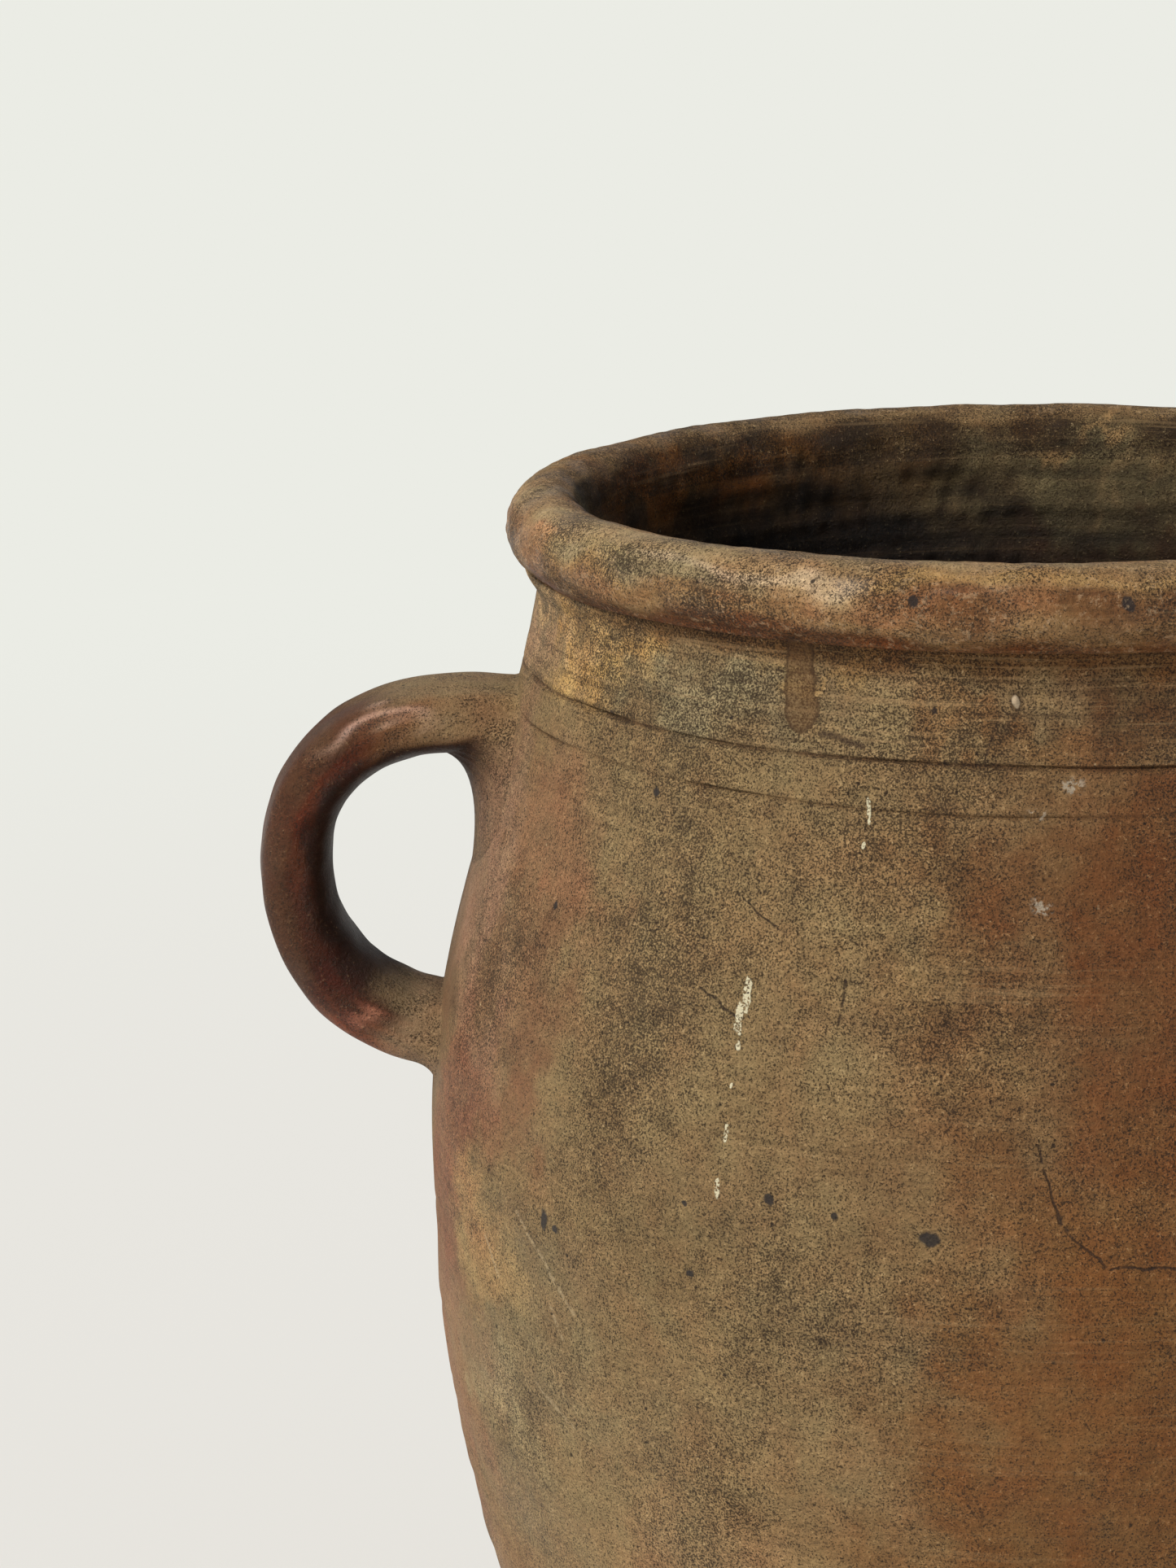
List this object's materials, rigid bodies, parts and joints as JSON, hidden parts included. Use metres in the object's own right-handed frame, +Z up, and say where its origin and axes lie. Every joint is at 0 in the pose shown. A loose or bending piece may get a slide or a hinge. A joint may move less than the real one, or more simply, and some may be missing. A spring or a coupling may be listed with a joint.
{
  "type": "two-handled olive jar",
  "caption": "Wide-mouthed earthenware jar with a rolled rim, scored shoulder and looped ear handles, for keeping olives in brine or oil.",
  "frame": {"origin": "middle of the underside, on the surface that the jar stands on", "axes": "+Z up along the jar's axis; +X through the right handle and -X through the left one, as seen from the front; the front faces -Y"},
  "size_m": [0.372, 0.2928, 0.385],
  "materials": {
    "fired_clay": "matt unglazed earthenware, smoke-clouded in the kiln from ochre and pink to olive grey and red brown, thickly peppered with fine dark specks"
  },
  "bodies": {
    "root": {"floor_disc": "fired_clay", "lower_wall": "fired_clay", "upper_wall": "fired_clay", "neck_collar": "fired_clay", "rolled_rim": "fired_clay", "left_handle": "fired_clay", "left_handle_upper_lute": "fired_clay", "left_handle_lower_lute": "fired_clay", "right_handle": "fired_clay", "right_handle_upper_lute": "fired_clay", "right_handle_lower_lute": "fired_clay"}
  },
  "joints": []
}
